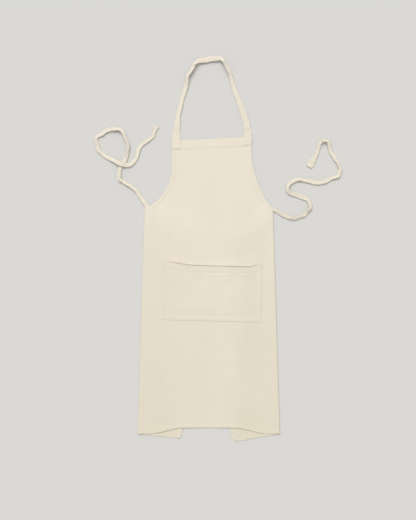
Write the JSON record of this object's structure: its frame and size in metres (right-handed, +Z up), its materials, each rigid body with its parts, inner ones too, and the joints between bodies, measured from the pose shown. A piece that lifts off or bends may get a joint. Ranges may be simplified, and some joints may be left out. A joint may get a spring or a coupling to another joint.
{
  "type": "bib apron",
  "caption": "Natural linen bib apron laid out flat, its sides folded behind the front, with a neck loop, a wide front pocket and two loose waist ties.",
  "frame": {"origin": "on the surface that the apron lies on, under the middle of all that lies there, ties and neck loop included", "axes": "+Z up from the surface, out of the apron's face; +Y along its length towards the neck loop; +X across it to the right as it is looked at"},
  "size_m": [0.7405, 1.1547, 0.0145],
  "materials": {
    "linen_cloth": "matt",
    "hemmed_linen": "matt",
    "strap_linen": "matt",
    "sewing_thread": "matt"
  },
  "bodies": {
    "front": {"front_panel": "linen_cloth", "bib_hem": "hemmed_linen", "left_armhole_hem": "hemmed_linen", "right_armhole_hem": "hemmed_linen", "front_bottom_hem": "hemmed_linen", "bib_stitching": "sewing_thread", "left_armhole_stitching": "sewing_thread", "right_armhole_stitching": "sewing_thread", "front_hem_stitching": "sewing_thread", "pocket_panel": "linen_cloth", "pocket_mouth_hem": "hemmed_linen", "pocket_seam_stitching": "sewing_thread", "pocket_mouth_stitching": "sewing_thread", "pocket_bartacks": "sewing_thread", "neck_strap_ends": "strap_linen", "neck_strap_tacks": "sewing_thread"},
    "left_flank": {"left_flank": "linen_cloth", "left_flank_side_hem": "hemmed_linen", "left_flank_bottom_hem": "hemmed_linen", "left_flank_top_hem": "hemmed_linen", "left_flank_stitching": "sewing_thread", "left_tie_root": "strap_linen", "left_tie_tack": "sewing_thread"},
    "right_flank": {"right_flank": "linen_cloth", "right_flank_side_hem": "hemmed_linen", "right_flank_bottom_hem": "hemmed_linen", "right_flank_top_hem": "hemmed_linen", "right_flank_stitching": "sewing_thread", "right_tie_root": "strap_linen", "right_tie_tack": "sewing_thread"},
    "neck_strap": {"neck_strap": "strap_linen"},
    "left_tie": {"left_tie": "strap_linen"},
    "right_tie": {"right_tie": "strap_linen"}
  },
  "joints": [
    {"name": "left_flank_fold", "type": "hinge", "parent": "front", "child": "left_flank", "pos_m": [-0.2385, -0.554, 0.00245], "axis": [0.0304, 0.9995, 0], "range_deg": [0, 180]},
    {"name": "right_flank_fold", "type": "hinge", "parent": "front", "child": "right_flank", "pos_m": [0.1825, -0.554, 0.00245], "axis": [0.0304, -0.9995, 0], "range_deg": [0, 180]},
    {"name": "neck_strap_fold", "type": "hinge", "parent": "front", "child": "neck_strap", "pos_m": [-0.019, 0.33, 0.005], "axis": [0.9987, 0.0504, 0], "range_deg": [0, 150]},
    {"name": "left_tie_lift", "type": "hinge", "parent": "front", "child": "left_tie", "pos_m": [-0.218, 0.121, 0.005], "axis": [0.8192, 0.5736, 0], "range_deg": [0, 90]},
    {"name": "right_tie_lift", "type": "hinge", "parent": "front", "child": "right_tie", "pos_m": [0.162, 0.121, 0.005], "axis": [0, -1, 0], "range_deg": [0, 90]}
  ]
}
